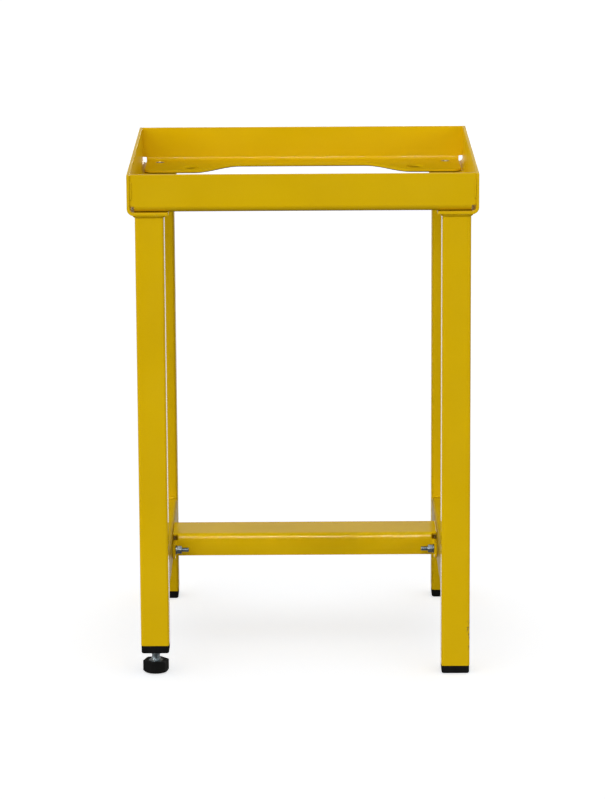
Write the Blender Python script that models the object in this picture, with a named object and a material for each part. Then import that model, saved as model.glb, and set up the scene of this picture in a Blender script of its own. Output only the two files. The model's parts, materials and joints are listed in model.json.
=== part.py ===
"""Tool chest stand: a shallow steel tray on four square legs.

Two side angles and two rails of folded plate make the tray. Two lower rails and a bolted crossbar
tie the legs together. Three legs end in plastic caps and the fourth in a levelling foot.
Metres, +Z up, front towards -Y, origin on the floor under the middle of the tray.
"""
import math

import bmesh
import bpy

# Overall sizes
WIDTH = 0.485
DEPTH = 0.450
HEIGHT = 0.716

# Tray of folded plate
PLATE = 0.004
BEND_RADIUS = 0.0095
SIDE_HEIGHT = 0.057
FLANGE_LIP = 0.0065
RAIL_INSET = 0.002
RAIL_FLANGE_MIDDLE = 0.045
RAIL_FLANGE_END = 0.104
RAIL_CORNER_RADIUS = 0.011
RELIEF_MARGIN_SIDE = 0.0005
RELIEF_MARGIN_UP = 0.0028
LARGE_HOLE = 0.024
LARGE_HOLE_MARGIN = 0.008
LARGE_HOLE_FROM_FACE = 0.072
SHOULDER_FROM_HOLE = 0.0055
SHOULDER_RUN = 0.068

# Square tube of the legs and lower rails
TUBE = 0.040
TUBE_WALL = 0.002
TUBE_CORNER = 0.004
LEG_MARGIN = 0.001
LEG_SETBACK = 0.004
LOWER_RAIL_TOP = 0.1565

# Lower crossbar
BAR_PLATE = 0.004
BAR_BEND_RADIUS = 0.0085
BAR_HEIGHT = 0.032
BAR_DEPTH = 0.078
TAB_LENGTH = 0.024
TAB_FOLD_RADIUS = 0.003
TAB_RELIEF = 0.0005
SLOT_BEND_STEPS = 2

# Crossbar bolts
BOLT = 0.0063
BOLT_FROM_FRONT = 0.180
BOLT_TO_BAR = 0.012
BOLT_STICK_OUT = 0.010
HEX_ACROSS = 0.011
HEAD_HEIGHT = 0.0043
NUT_HEIGHT = 0.0068
WASHER = 0.0135
WASHER_THICKNESS = 0.0016

# Threaded tray inserts
INSERT_FLANGE = 0.014
INSERT_FLANGE_HEIGHT = 0.0012
INSERT_BODY = 0.011
INSERT_LENGTH = 0.018
INSERT_BORE = 0.0068

# End caps
CAP_HEAD = 0.011
CAP_INSET = 0.0004
CAP_ROUND = 0.003
CAP_PLUG = 0.016
CAP_WALL = 0.003
CAP_FLOOR = 0.006

# Levelling foot
STUD = 0.012
STUD_ABOVE_CAP = 0.034
STUD_COLLAR = 0.020
STUD_COLLAR_HEIGHT = 0.003
STUD_TAIL = 0.014
STUD_TAIL_LENGTH = 0.006
BUSH_OUTER = 0.018
BUSH_LENGTH = 0.016
KNOB_ACROSS = 0.0325
KNOB_TOP = 0.0176
KNOB_LIFT = 0.001
KNOB_FOOTPRINT = 0.0315
KNOB_CHAMFER_SLOPE = 0.9
KNOB_TOP_ROUND = 0.0006
KNOB_TURN = 12.4
SOLE = 0.027
SOLE_HEIGHT = 0.0028
FOOT_GAP = 0.0138

# Welds
WELD_LEG = 0.003
CORNER_WELD_LENGTH = 0.027

# Gaps between pieces that touch, round a shank, and past a cut
CONTACT_GAP = 0.0003
SHANK_CLEARANCE = 0.0005
CUT_PAST = 0.005

# Smoothness of round shapes
BEND_STEPS = 6
CORNER_STEPS = 4
FLAT_STEPS = 6
SHOULDER_STEPS = 16
RING_POINTS = 48

# Levels and places worked out from the sizes
FOLD_INSIDE = BEND_RADIUS - PLATE
TRAY_BOTTOM = HEIGHT - SIDE_HEIGHT
SIDE_FLANGE_TOP = TRAY_BOTTOM + PLATE
RAIL_BOTTOM = SIDE_FLANGE_TOP + CONTACT_GAP
TRAY_SEAT = RAIL_BOTTOM + PLATE
SIDE_FACE = WIDTH / 2
SIDE_INSIDE = SIDE_FACE - PLATE
LEG_OUTSIDE = SIDE_FACE - BEND_RADIUS - LEG_MARGIN
LEG_INSIDE = LEG_OUTSIDE - TUBE
LEG_X = LEG_OUTSIDE - TUBE / 2
SIDE_FLANGE_EDGE = LEG_INSIDE - FLANGE_LIP
LEG_Y = DEPTH / 2 - LEG_SETBACK - TUBE / 2
LEG_TOP = TRAY_BOTTOM - CONTACT_GAP
RAIL_FACE = DEPTH / 2 - RAIL_INSET
RAIL_END = SIDE_INSIDE - CONTACT_GAP
RAIL_FLANGE_SIDE = SIDE_INSIDE - FOLD_INSIDE - RELIEF_MARGIN_SIDE
RELIEF_TOP = RAIL_BOTTOM + FOLD_INSIDE + RELIEF_MARGIN_UP
LARGE_HOLE_X = SIDE_FLANGE_EDGE - LARGE_HOLE_MARGIN - LARGE_HOLE / 2
SHOULDER_OUTER = LARGE_HOLE_X - SHOULDER_FROM_HOLE
SHOULDER_INNER = SHOULDER_OUTER - SHOULDER_RUN
LOWER_RAIL_Z = LOWER_RAIL_TOP - TUBE / 2
LOWER_RAIL_END = LEG_Y - TUBE / 2 - CONTACT_GAP
BOLT_Y = -DEPTH / 2 + BOLT_FROM_FRONT
BOLT_HOLE = BOLT + 2 * SHANK_CLEARANCE
BAR_FRONT = BOLT_Y + BOLT_TO_BAR
BAR_END = LEG_INSIDE - CONTACT_GAP
BAR_BOTTOM = LOWER_RAIL_TOP - BAR_HEIGHT
INSERT_HOLE = INSERT_BODY + 2 * CONTACT_GAP
INSERT_RECESS = INSERT_FLANGE + 2 * CONTACT_GAP
INSERT_FLANGE_BOTTOM = TRAY_SEAT - INSERT_FLANGE_HEIGHT
CAP_PLUG_SIZE = TUBE - 2 * TUBE_WALL - 2 * CONTACT_GAP
FOOT_CAP_BOTTOM = KNOB_TOP + FOOT_GAP

FINISHES = {
    "yellow_paint": ((0.61, 0.38, 0.004), 0.28, 0.0),
    "black_plastic": ((0.008, 0.008, 0.008), 0.35, 0.0),
    "zinc_steel": ((0.55, 0.58, 0.62), 0.25, 1.0),
    "black_rubber": ((0.012, 0.012, 0.012), 0.7, 0.0),
}


def clear_scene():
    """Remove every object of the opened scene."""
    for part in list(bpy.data.objects):
        bpy.data.objects.remove(part, do_unlink=True)


def finish_of(name, kind):
    """A Principled material of the part's own, in one of the named finishes."""
    colour, roughness, metallic = FINISHES[kind]
    material = bpy.data.materials.new(f"{name}_{kind}")
    material.use_nodes = True
    shader = material.node_tree.nodes["Principled BSDF"]
    shader.inputs["Base Color"].default_value = (*colour, 1.0)
    shader.inputs["Roughness"].default_value = roughness
    shader.inputs["Metallic"].default_value = metallic
    return material


def make_object(name, vertices, faces, kind, location=(0.0, 0.0, 0.0), rotation=(0.0, 0.0, 0.0)):
    """Link a closed mesh to the scene, its faces turned outwards."""
    mesh = bpy.data.meshes.new(name)
    mesh.from_pydata(vertices, [], faces)
    body = bmesh.new()
    body.from_mesh(mesh)
    bmesh.ops.recalc_face_normals(body, faces=body.faces)
    body.to_mesh(mesh)
    body.free()
    mesh.materials.append(finish_of(name, kind))
    part = bpy.data.objects.new(name, mesh)
    part.location = location
    part.rotation_euler = rotation
    bpy.context.collection.objects.link(part)
    return part


def arc(centre, radius, start, end, steps):
    """Points on a flat arc from one angle to another, in degrees, both ends included."""
    points = []
    for step in range(steps + 1):
        angle = math.radians(start + (end - start) * step / steps)
        points.append((centre[0] + radius * math.cos(angle), centre[1] + radius * math.sin(angle)))
    return points


def on_axis(point, place, axis):
    """A flat point lifted to 3-D: it lies across the axis, at the given place along it."""
    across = list(point)
    across.insert(axis, place)
    return tuple(across)


def prism_mesh(outline, low, high, axis):
    """Vertices and faces of an outline drawn out along X, Y or Z (axis 0, 1 or 2)."""
    count = len(outline)
    vertices = [on_axis(point, low, axis) for point in outline]
    vertices += [on_axis(point, high, axis) for point in outline]
    faces = [tuple(range(count)), tuple(range(2 * count - 1, count - 1, -1))]
    for step in range(count):
        after = (step + 1) % count
        faces.append((step, step + count, after + count, after))
    return vertices, faces


def loft_mesh(rings, closed=False):
    """Vertices and faces over a row of rings with equal point counts, capped unless it closes on itself."""
    count = len(rings[0])
    vertices = [point for ring in rings for point in ring]
    faces = []
    spans = len(rings) if closed else len(rings) - 1
    for span in range(spans):
        low = span * count
        high = (span + 1) % len(rings) * count
        for step in range(count):
            after = (step + 1) % count
            faces.append((low + step, low + after, high + after, high + step))
    if not closed:
        faces.append(tuple(range(count)))
        faces.append(tuple(range((len(rings) - 1) * count, len(rings) * count)))
    return vertices, faces


def loft(name, rings, kind, closed=False, location=(0.0, 0.0, 0.0), rotation=(0.0, 0.0, 0.0)):
    """A named piece skinned over a row of rings."""
    vertices, faces = loft_mesh(rings, closed)
    return make_object(name, vertices, faces, kind, location, rotation)


def circle(radius, level):
    """A ring of points round the Z axis."""
    flat = arc((0.0, 0.0), radius, 0.0, 360.0, RING_POINTS)[:-1]
    return [(x, y, level) for x, y in flat]


def hexagon_radius(angle, across):
    """Distance from the axis to a hexagon's side, with a corner at angle zero."""
    sixth = math.radians(60.0)
    return across / 2 / math.cos(angle % sixth - sixth / 2)


def hexagon(across, level, lift=0.0, slope=0.0, foot_radius=0.0):
    """A hexagonal ring; its corners are lifted by the slope of a cone that starts at foot_radius."""
    points = []
    for step in range(RING_POINTS):
        angle = 2 * math.pi * step / RING_POINTS
        radius = hexagon_radius(angle, across)
        rise = lift + slope * max(0.0, radius - foot_radius)
        points.append((radius * math.cos(angle), radius * math.sin(angle), level + rise))
    return points


def rounded_square(half, corner, level):
    """A square ring with round corners and evenly divided sides."""
    flat = []
    reach = half - corner
    for turn, (side_x, side_y) in enumerate(((1, 1), (-1, 1), (-1, -1), (1, -1))):
        start = 90.0 * turn
        flat += arc((side_x * reach, side_y * reach), corner, start, start + 90.0, CORNER_STEPS)
        along_x, along_y = flat[-1]
        step_x = -2 * reach / FLAT_STEPS * math.sin(math.radians(start + 90.0))
        step_y = 2 * reach / FLAT_STEPS * math.cos(math.radians(start + 90.0))
        for step in range(1, FLAT_STEPS):
            flat.append((along_x + step_x * step, along_y + step_y * step))
    return [(x, y, level) for x, y in flat]


def circle_in_square(radius, half, corner, level):
    """A round ring whose points lie on the same rays as a rounded square's points."""
    points = []
    for x, y, _ in rounded_square(half, corner, level):
        reach = math.hypot(x, y)
        points.append((x / reach * radius, y / reach * radius, level))
    return points


def cut(part, shapes):
    """Take prisms, each given as vertices and faces, out of a part."""
    vertices = []
    faces = []
    for shape_vertices, shape_faces in shapes:
        start = len(vertices)
        vertices += shape_vertices
        faces += [tuple(start + corner for corner in face) for face in shape_faces]
    cutter = make_object(f"{part.name}_cutter", vertices, faces, "zinc_steel")
    cutter.hide_render = True
    cutter.display_type = "WIRE"
    modifier = part.modifiers.new("openings", "BOOLEAN")
    modifier.operation = "DIFFERENCE"
    modifier.solver = "EXACT"
    modifier.object = cutter


def round_cut(diameter, centre, low, high, axis):
    """A round prism to cut a hole with."""
    outline = arc(centre, diameter / 2, 0.0, 360.0, RING_POINTS)[:-1]
    return prism_mesh(outline, low, high, axis)


def recessed_cut(centre, low, high):
    """A stepped round shape to cut a tray insert's hole and the recess for its flange with."""
    step = INSERT_FLANGE_BOTTOM - CONTACT_GAP
    rings = [
        circle(INSERT_HOLE / 2, low),
        circle(INSERT_HOLE / 2, step),
        circle(INSERT_RECESS / 2, step),
        circle(INSERT_RECESS / 2, high),
    ]
    vertices, faces = loft_mesh(rings)
    return [(x + centre[0], y + centre[1], z) for x, y, z in vertices], faces


def angle_outline(face, edge, bottom, top, plate, radius):
    """Section of a folded angle: an upright with its outside at face, a flange at the bottom to edge."""
    inward = 1.0 if edge > face else -1.0
    outer = arc((radius, radius), radius, 180.0, 270.0, BEND_STEPS)
    inner = arc((radius, radius), radius - plate, 270.0, 180.0, BEND_STEPS)
    reach = abs(edge - face)
    local = [(0.0, top - bottom)] + outer + [(reach, 0.0), (reach, plate)] + inner
    local.append((plate, top - bottom))
    return [(face + inward * across, bottom + up) for across, up in local]


def side_angle(name, side):
    """Tray side of full depth, with the insert holes over both its legs."""
    outline = angle_outline(side * SIDE_FACE, side * SIDE_FLANGE_EDGE, TRAY_BOTTOM, HEIGHT, PLATE, BEND_RADIUS)
    vertices, faces = prism_mesh(outline, -DEPTH / 2, DEPTH / 2, 1)
    part = make_object(name, vertices, faces, "yellow_paint")
    holes = []
    for end in (-1, 1):
        centre = (side * LEG_X, end * LEG_Y)
        holes.append(round_cut(INSERT_HOLE, centre, TRAY_BOTTOM - CUT_PAST, SIDE_FLANGE_TOP + CUT_PAST, 2))
    cut(part, holes)


def shoulder_cut(end):
    """Prism that narrows a rail's flange in the middle, with a half cosine wave at both sides."""
    wide_edge = RAIL_FACE - RAIL_FLANGE_END
    drop = RAIL_FLANGE_END - RAIL_FLANGE_MIDDLE
    outline = [(SHOULDER_OUTER, wide_edge - CUT_PAST)]
    for step in range(SHOULDER_STEPS + 1):
        share = step / SHOULDER_STEPS
        across = SHOULDER_OUTER - SHOULDER_RUN * share
        outline.append((across, wide_edge + drop * (1 - math.cos(math.pi * share)) / 2))
    outline += [(-x, y) for x, y in reversed(outline)]
    placed = [(x, end * y) for x, y in outline]
    return prism_mesh(placed, RAIL_BOTTOM - CUT_PAST, TRAY_SEAT + CUT_PAST, 2)


def relief_cut(end, side):
    """Prism that frees a rail's lower corner from the side angle's fold and rounds the flange corner."""
    wide_edge = RAIL_FACE - RAIL_FLANGE_END
    past = SIDE_FACE + CUT_PAST
    centre = (RAIL_FLANGE_SIDE - RAIL_CORNER_RADIUS, wide_edge + RAIL_CORNER_RADIUS)
    outline = [(past, DEPTH / 2 + CUT_PAST), (RAIL_FLANGE_SIDE, DEPTH / 2 + CUT_PAST)]
    outline += arc(centre, RAIL_CORNER_RADIUS, 0.0, -90.0, BEND_STEPS)
    outline += [(centre[0], wide_edge - CUT_PAST), (past, wide_edge - CUT_PAST)]
    placed = [(side * x, end * y) for x, y in outline]
    return prism_mesh(placed, RAIL_BOTTOM - CUT_PAST, RELIEF_TOP, 2)


def tray_rail(name, end):
    """Front or rear rail: its flange rests on the side angles and is widest over the legs."""
    edge = RAIL_FACE - RAIL_FLANGE_END
    outline = angle_outline(end * RAIL_FACE, end * edge, RAIL_BOTTOM, HEIGHT, PLATE, BEND_RADIUS)
    vertices, faces = prism_mesh(outline, -RAIL_END, RAIL_END, 0)
    part = make_object(name, vertices, faces, "yellow_paint")
    low = RAIL_BOTTOM - CUT_PAST
    high = TRAY_SEAT + CUT_PAST
    shapes = [shoulder_cut(end)]
    for side in (-1, 1):
        hole_y = end * (RAIL_FACE - LARGE_HOLE_FROM_FACE)
        shapes.append(relief_cut(end, side))
        shapes.append(round_cut(LARGE_HOLE, (side * LARGE_HOLE_X, hole_y), low, high, 2))
        shapes.append(recessed_cut((side * LEG_X, end * LEG_Y), low, high))
    cut(part, shapes)


def tube_rings(low, high):
    """Rings of a square tube, open at both ends, along Z."""
    half = TUBE / 2
    inside = half - TUBE_WALL
    inside_corner = TUBE_CORNER - TUBE_WALL
    return [
        rounded_square(half, TUBE_CORNER, low),
        rounded_square(half, TUBE_CORNER, high),
        rounded_square(inside, inside_corner, high),
        rounded_square(inside, inside_corner, low),
    ]


def leg(name, side, end, cap_bottom):
    """Upright of square tube between its end cap and the side angle."""
    low = cap_bottom + CAP_HEAD + CONTACT_GAP
    loft(name, tube_rings(low, LEG_TOP), "yellow_paint", True, (side * LEG_X, end * LEG_Y, 0.0))


def lower_rail(name, side):
    """Square tube between a front and a rear leg, drilled for the crossbar bolt."""
    rings = []
    for ring in tube_rings(-LOWER_RAIL_END, LOWER_RAIL_END):
        rings.append([(x + side * LEG_X, along, up + LOWER_RAIL_Z) for x, up, along in ring])
    part = loft(name, rings, "yellow_paint", True)
    low = min(side * LEG_INSIDE, side * LEG_OUTSIDE) - CUT_PAST
    high = max(side * LEG_INSIDE, side * LEG_OUTSIDE) + CUT_PAST
    cut(part, [round_cut(BOLT_HOLE, (BOLT_Y, LOWER_RAIL_Z), low, high, 0)])


def sheet_mesh(patches):
    """Close grids of (outer point, inner point) pairs, joined along shared lines, into one plate."""
    vertices = []
    known = {}

    def index_of(point):
        key = tuple(round(value, 7) for value in point)
        if key not in known:
            known[key] = len(vertices)
            vertices.append(point)
        return known[key]

    faces = []
    inside_of = {}
    edges = set()
    for patch in patches:
        for row in range(len(patch) - 1):
            for column in range(len(patch[row]) - 1):
                corners = ((row, column), (row, column + 1), (row + 1, column + 1), (row + 1, column))
                outer = [index_of(patch[i][j][0]) for i, j in corners]
                inner = [index_of(patch[i][j][1]) for i, j in corners]
                inside_of.update(zip(outer, inner))
                faces.append(tuple(outer))
                faces.append(tuple(reversed(inner)))
                edges.update(zip(outer, outer[1:] + outer[:1]))
    for start, stop in edges:
        if (stop, start) not in edges:
            faces.append((stop, start, inside_of[start], inside_of[stop]))
    return vertices, faces


def bar_section():
    """Pairs of (outer, inner) points in Y and Z, from the front lower edge over both folds to the rear lower edge."""
    front, rear = BAR_FRONT, BAR_FRONT + BAR_DEPTH
    fold_z = LOWER_RAIL_TOP - BAR_BEND_RADIUS
    tab_top = fold_z - TAB_RELIEF
    pairs = [((front, level), (front + BAR_PLATE, level)) for level in (BAR_BOTTOM, tab_top)]
    for fold_y, start in ((front + BAR_BEND_RADIUS, 180.0), (rear - BAR_BEND_RADIUS, 90.0)):
        outer = arc((fold_y, fold_z), BAR_BEND_RADIUS, start, start - 90.0, BEND_STEPS)
        inner = arc((fold_y, fold_z), BAR_BEND_RADIUS - BAR_PLATE, start, start - 90.0, BEND_STEPS)
        pairs += list(zip(outer, inner))
    pairs.append(((rear, BAR_BOTTOM), (rear - BAR_PLATE, BAR_BOTTOM)))
    return pairs


def tab_path():
    """Pairs of (outer, inner) points in X and Y, from the bar's face round the fold to the tab's end."""
    fold_x = BAR_END - BAR_PLATE - TAB_FOLD_RADIUS
    fold_y = BAR_FRONT - TAB_FOLD_RADIUS
    outer = arc((fold_x, fold_y), TAB_FOLD_RADIUS, 90.0, 0.0, BEND_STEPS)
    inner = arc((fold_x, fold_y), TAB_FOLD_RADIUS + BAR_PLATE, 90.0, 0.0, BEND_STEPS)
    tab_end = BAR_FRONT - TAB_LENGTH
    outer.append((BAR_END - BAR_PLATE, tab_end))
    inner.append((BAR_END, tab_end))
    return list(zip(outer, inner))


def lower_crossbar(name):
    """Folded channel whose front flange turns forward at both ends into drilled tabs, below a slot in the fold."""
    section = bar_section()
    above_slot = section[2 + SLOT_BEND_STEPS:]
    path = tab_path()
    fold_x = path[0][0][0]

    def strip(pairs, low, high):
        return [[((x, *outer), (x, *inner)) for outer, inner in pairs] for x in (low, high)]

    patches = [strip(section, -fold_x, fold_x)]
    for side in (-1, 1):
        ends = (fold_x, BAR_END) if side > 0 else (-BAR_END, -fold_x)
        patches.append(strip(above_slot, *ends))
        tab = []
        for outer, inner in path if side > 0 else reversed(path):
            row = []
            for level in (section[0][0][1], section[1][0][1]):
                row.append(((side * outer[0], outer[1], level), (side * inner[0], inner[1], level)))
            tab.append(row)
        patches.append(tab)
    vertices, faces = sheet_mesh(patches)
    part = make_object(name, vertices, faces, "yellow_paint")
    holes = []
    for side in (-1, 1):
        span = sorted((side * (BAR_END - 2 * BAR_PLATE), side * (BAR_END + BAR_PLATE)))
        holes.append(round_cut(BOLT_HOLE, (BOLT_Y, LOWER_RAIL_Z), span[0], span[1], 0))
    cut(part, holes)


def bolt_rotation(side):
    """Turn local +Z inwards, from the outside of the stand to its middle, and local X along the depth."""
    return (math.pi / 2, 0.0, -side * math.pi / 2)


def crossbar_fasteners(label, side):
    """Bolt from the outside through a lower rail and a tab, with two washers and a nut."""
    turned = bolt_rotation(side)
    step = WASHER_THICKNESS + 2 * CONTACT_GAP
    head_seat = LEG_OUTSIDE + step
    nut_seat = BAR_END - BAR_PLATE - step
    shank = head_seat - nut_seat + NUT_HEIGHT + BOLT_STICK_OUT
    rings = [
        circle(HEX_ACROSS * 0.45, -HEAD_HEIGHT),
        hexagon(HEX_ACROSS, -HEAD_HEIGHT * 0.85),
        hexagon(HEX_ACROSS, 0.0),
        circle(BOLT / 2, 0.0),
        circle(BOLT / 2, shank - BOLT * 0.1),
        circle(BOLT * 0.4, shank),
    ]
    loft(f"{label}_crossbar_bolt", rings, "zinc_steel", False, (side * head_seat, BOLT_Y, LOWER_RAIL_Z), turned)
    bore = BOLT / 2 + CONTACT_GAP
    rings = [
        circle(bore, 0.0),
        circle(HEX_ACROSS * 0.48, 0.0),
        hexagon(HEX_ACROSS, NUT_HEIGHT * 0.12),
        hexagon(HEX_ACROSS, NUT_HEIGHT * 0.88),
        circle(HEX_ACROSS * 0.48, NUT_HEIGHT),
        circle(bore, NUT_HEIGHT),
    ]
    loft(f"{label}_crossbar_nut", rings, "zinc_steel", True, (side * nut_seat, BOLT_Y, LOWER_RAIL_Z), turned)
    rings = [
        circle(bore, 0.0),
        circle(WASHER / 2, 0.0),
        circle(WASHER / 2, WASHER_THICKNESS),
        circle(bore, WASHER_THICKNESS),
    ]
    seats = {"outer": head_seat - CONTACT_GAP, "inner": nut_seat + step - CONTACT_GAP}
    for place, seat in seats.items():
        loft(f"{label}_{place}_washer", rings, "zinc_steel", True, (side * seat, BOLT_Y, LOWER_RAIL_Z), turned)


def tray_insert(name, side, end):
    """Threaded insert through the tray's two flanges into the top of a leg, its flange flush in a recess."""
    low = TRAY_SEAT - INSERT_LENGTH
    rings = [
        circle(INSERT_BORE / 2, low),
        circle(INSERT_BODY / 2, low),
        circle(INSERT_BODY / 2, INSERT_FLANGE_BOTTOM),
        circle(INSERT_FLANGE / 2, INSERT_FLANGE_BOTTOM),
        circle(INSERT_FLANGE / 2, TRAY_SEAT),
        circle(INSERT_BORE / 2, TRAY_SEAT),
    ]
    loft(name, rings, "zinc_steel", True, (side * LEG_X, end * LEG_Y, 0.0))


def cap_outside(bottom):
    """Rings of a cap's outside: round lower edge, head, shoulder under the tube, and plug."""
    half = TUBE / 2 - CAP_INSET
    rings = []
    for inset, level in arc((CAP_ROUND, CAP_ROUND), CAP_ROUND, 270.0, 180.0, CORNER_STEPS):
        rings.append(rounded_square(half - inset, TUBE_CORNER, bottom + level))
    head = bottom + CAP_HEAD
    plug = CAP_PLUG_SIZE / 2
    corner = TUBE_CORNER - TUBE_WALL
    rings.append(rounded_square(half, TUBE_CORNER, head))
    rings.append(rounded_square(plug, corner, head))
    rings.append(rounded_square(plug, corner, head + CAP_PLUG))
    rings.append(rounded_square(plug - CAP_WALL, corner, head + CAP_PLUG))
    rings.append(rounded_square(plug - CAP_WALL, corner, bottom + CAP_FLOOR))
    return rings


def end_cap(name, side, end):
    """Plain plastic plug that a leg stands on."""
    loft(name, cap_outside(0.0), "black_plastic", False, (side * LEG_X, end * LEG_Y, 0.0))


def threaded_cap(name, bush_name, side, end):
    """Cap with a round hole for the bush, and the bush that the stud turns in."""
    place = (side * LEG_X, end * LEG_Y, 0.0)
    half = TUBE / 2 - CAP_INSET
    hole = BUSH_OUTER / 2 + CONTACT_GAP
    rings = cap_outside(FOOT_CAP_BOTTOM)
    rings.append(circle_in_square(hole, half, TUBE_CORNER, FOOT_CAP_BOTTOM + CAP_FLOOR))
    rings.append(circle_in_square(hole, half, TUBE_CORNER, FOOT_CAP_BOTTOM))
    loft(name, rings, "black_plastic", True, place)
    bore = STUD / 2 + CONTACT_GAP
    rings = [
        circle(bore, FOOT_CAP_BOTTOM),
        circle(BUSH_OUTER / 2, FOOT_CAP_BOTTOM),
        circle(BUSH_OUTER / 2, FOOT_CAP_BOTTOM + BUSH_LENGTH),
        circle(bore, FOOT_CAP_BOTTOM + BUSH_LENGTH),
    ]
    loft(bush_name, rings, "zinc_steel", True, place)


def levelling_foot(side, end):
    """Stud with a collar and tail, hexagonal knob moulded round it, and a round sole under the knob."""
    place = (side * LEG_X, end * LEG_Y, 0.0)
    collar_low = KNOB_TOP - STUD_COLLAR_HEIGHT
    tail_low = collar_low - STUD_TAIL_LENGTH
    stud_top = FOOT_CAP_BOTTOM + STUD_ABOVE_CAP
    rings = [
        circle(STUD_TAIL / 2, tail_low),
        circle(STUD_TAIL / 2, collar_low),
        circle(STUD_COLLAR / 2, collar_low),
        circle(STUD_COLLAR / 2, KNOB_TOP),
        circle(STUD / 2, KNOB_TOP),
        circle(STUD / 2, stud_top - STUD * 0.1),
        circle(STUD * 0.4, stud_top),
    ]
    loft("foot_stud", rings, "zinc_steel", False, place)
    sole_recess = SOLE / 2 + CONTACT_GAP
    collar_recess = STUD_COLLAR / 2 + CONTACT_GAP
    tail_recess = STUD_TAIL / 2 + CONTACT_GAP
    foot_radius = KNOB_FOOTPRINT / 2
    rings = [
        circle(sole_recess, SOLE_HEIGHT + CONTACT_GAP),
        circle(sole_recess, KNOB_LIFT),
        circle(foot_radius, KNOB_LIFT),
        hexagon(KNOB_ACROSS, KNOB_LIFT, 0.0, KNOB_CHAMFER_SLOPE, foot_radius),
        hexagon(KNOB_ACROSS, KNOB_TOP - KNOB_TOP_ROUND),
        hexagon(KNOB_ACROSS - 2 * KNOB_TOP_ROUND, KNOB_TOP),
        circle(collar_recess, KNOB_TOP),
        circle(collar_recess, collar_low - CONTACT_GAP),
        circle(tail_recess, collar_low - CONTACT_GAP),
        circle(tail_recess, tail_low - CONTACT_GAP),
    ]
    loft("foot_knob", rings, "black_plastic", False, place, (0.0, 0.0, math.radians(KNOB_TURN)))
    rings = [
        circle(SOLE / 2 - SOLE_HEIGHT * 0.2, 0.0),
        circle(SOLE / 2, SOLE_HEIGHT * 0.2),
        circle(SOLE / 2, SOLE_HEIGHT),
    ]
    loft("foot_sole", rings, "black_rubber", False, place)


def bead_outline(corner, first, second):
    """Section of a weld bead in a corner: flat on two faces and slightly full between them."""
    fullness = 0.6
    return [
        corner,
        (corner[0] + first, corner[1]),
        (corner[0] + fullness * first, corner[1] + fullness * second),
        (corner[0], corner[1] + second),
    ]


def corner_weld(name, side, end):
    """Upright bead between a rail's face and the end of a side angle."""
    corner = (side * (SIDE_INSIDE - CONTACT_GAP), end * (RAIL_FACE + CONTACT_GAP))
    outline = bead_outline(corner, -side * WELD_LEG, end * (RAIL_INSET - CONTACT_GAP))
    middle = (RELIEF_TOP + HEIGHT) / 2
    vertices, faces = prism_mesh(outline, middle - CORNER_WELD_LENGTH / 2, middle + CORNER_WELD_LENGTH / 2, 2)
    make_object(name, vertices, faces, "yellow_paint")


def leg_weld(name, side, end):
    """Bead round the top of a leg, under the side angle."""
    top = LEG_TOP
    near = TUBE / 2 + CONTACT_GAP
    corner = TUBE_CORNER + CONTACT_GAP
    rings = [
        rounded_square(near, corner, top - WELD_LEG),
        rounded_square(near, corner, top),
        rounded_square(near + WELD_LEG, corner + WELD_LEG, top),
        rounded_square(near + 0.6 * WELD_LEG, corner + 0.6 * WELD_LEG, top - 0.6 * WELD_LEG),
    ]
    loft(name, rings, "yellow_paint", True, (side * LEG_X, end * LEG_Y, 0.0))


def rail_weld(name, side, end, above):
    """Level bead where a lower rail meets a leg, above or below the rail."""
    up = 1.0 if above else -1.0
    face = LOWER_RAIL_Z + up * (TUBE / 2 + CONTACT_GAP)
    outline = bead_outline((end * LOWER_RAIL_END, face), -end * WELD_LEG, up * WELD_LEG)
    half = TUBE / 2 - TUBE_CORNER
    vertices, faces = prism_mesh(outline, side * LEG_X - half, side * LEG_X + half, 0)
    make_object(name, vertices, faces, "yellow_paint")


def build():
    """Make every piece of the stand in its place."""
    clear_scene()
    sides = {"left": -1, "right": 1}
    ends = {"front": -1, "rear": 1}
    for label, end in ends.items():
        tray_rail(f"{label}_rail", end)
    for label, side in sides.items():
        side_angle(f"{label}_side_angle", side)
        lower_rail(f"{label}_lower_rail", side)
        crossbar_fasteners(label, side)
    lower_crossbar("lower_crossbar")
    for end_label, end in ends.items():
        for side_label, side in sides.items():
            place = f"{end_label}_{side_label}"
            on_foot = place == "front_left"
            leg(f"{place}_leg", side, end, FOOT_CAP_BOTTOM if on_foot else 0.0)
            if on_foot:
                threaded_cap(f"{place}_threaded_cap", "foot_bush", side, end)
                levelling_foot(side, end)
            else:
                end_cap(f"{place}_end_cap", side, end)
            tray_insert(f"{place}_tray_insert", side, end)
            corner_weld(f"{place}_corner_weld", side, end)
            leg_weld(f"{place}_leg_weld", side, end)
            rail_weld(f"{place}_upper_rail_weld", side, end, True)
            rail_weld(f"{place}_lower_rail_weld", side, end, False)


build()
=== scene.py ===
"""Looks of a tool chest stand: powder coated plate and tube, zinc plated fasteners, moulded plugs."""
import json
import math

import bpy
import numpy as np
from mathutils import Euler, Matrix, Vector, geometry

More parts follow.
